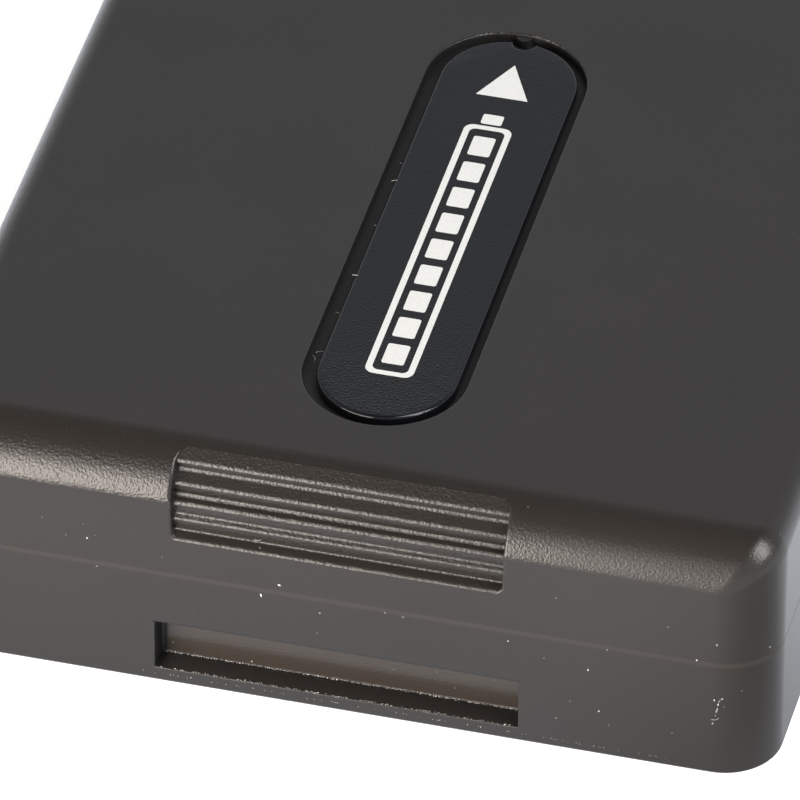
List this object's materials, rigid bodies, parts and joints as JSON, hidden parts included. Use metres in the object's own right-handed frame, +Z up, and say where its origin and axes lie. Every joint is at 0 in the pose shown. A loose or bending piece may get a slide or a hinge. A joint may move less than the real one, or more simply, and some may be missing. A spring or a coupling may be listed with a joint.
{
  "type": "camera battery",
  "caption": "Flat slide-on camera battery: moulded case in halves, stepped thumb grip, latch pocket, guide grooves, contact windows, and cells with a protection board inside.",
  "frame": {"origin": "middle of the pack's length and width, on the flat face that it rests on", "axes": "+Y is the way that the pack slides on to a camera, from the grip end to the contact end; +Z is up, out of the label face; +X is to the right seen from the grip end"},
  "size_m": [0.0408, 0.049, 0.0128],
  "materials": {
    "case_plastic": "fine spark-eroded texture, satin",
    "label_plastic": "glossy with a fine grain",
    "cell_can": "drawn aluminium, satin",
    "adhesive_tape": "matt white tissue tape",
    "foam": "closed-cell foam, matt",
    "insulating_paper": "pressed fibre paper, matt",
    "nickel_strip": "rolled nickel, satin",
    "cutoff_body": "moulded, matt",
    "board": "green solder mask, semi-gloss",
    "chip_epoxy": "moulded epoxy, matt",
    "ceramic_chip": "fired ceramic, matt",
    "terminal_plastic": "glass-filled moulding, matt",
    "contact_gold": "gold flash on brass, bright"
  },
  "bodies": {
    "root": {"upper_case": "case_plastic", "lower_case": "case_plastic", "label_plate": "label_plastic", "upper_cell": "cell_can", "lower_cell": "cell_can", "cell_tape": "adhesive_tape", "top_pad": "adhesive_tape", "bottom_pad": "adhesive_tape", "tail_cushion": "foam", "end_insulator": "insulating_paper", "negative_tab": "nickel_strip", "positive_tab": "nickel_strip", "link_tab": "nickel_strip", "thermal_cutoff": "cutoff_body", "circuit_board": "board", "terminal_block": "terminal_plastic", "negative_contact": "contact_gold", "data_contact": "contact_gold", "positive_contact": "contact_gold", "protection_chip": "chip_epoxy", "gauge_chip": "chip_epoxy", "switch_transistors": "chip_epoxy", "sense_resistor": "ceramic_chip", "chip_resistors": "ceramic_chip", "chip_capacitors": "ceramic_chip", "thermistor": "ceramic_chip"}
  },
  "joints": []
}
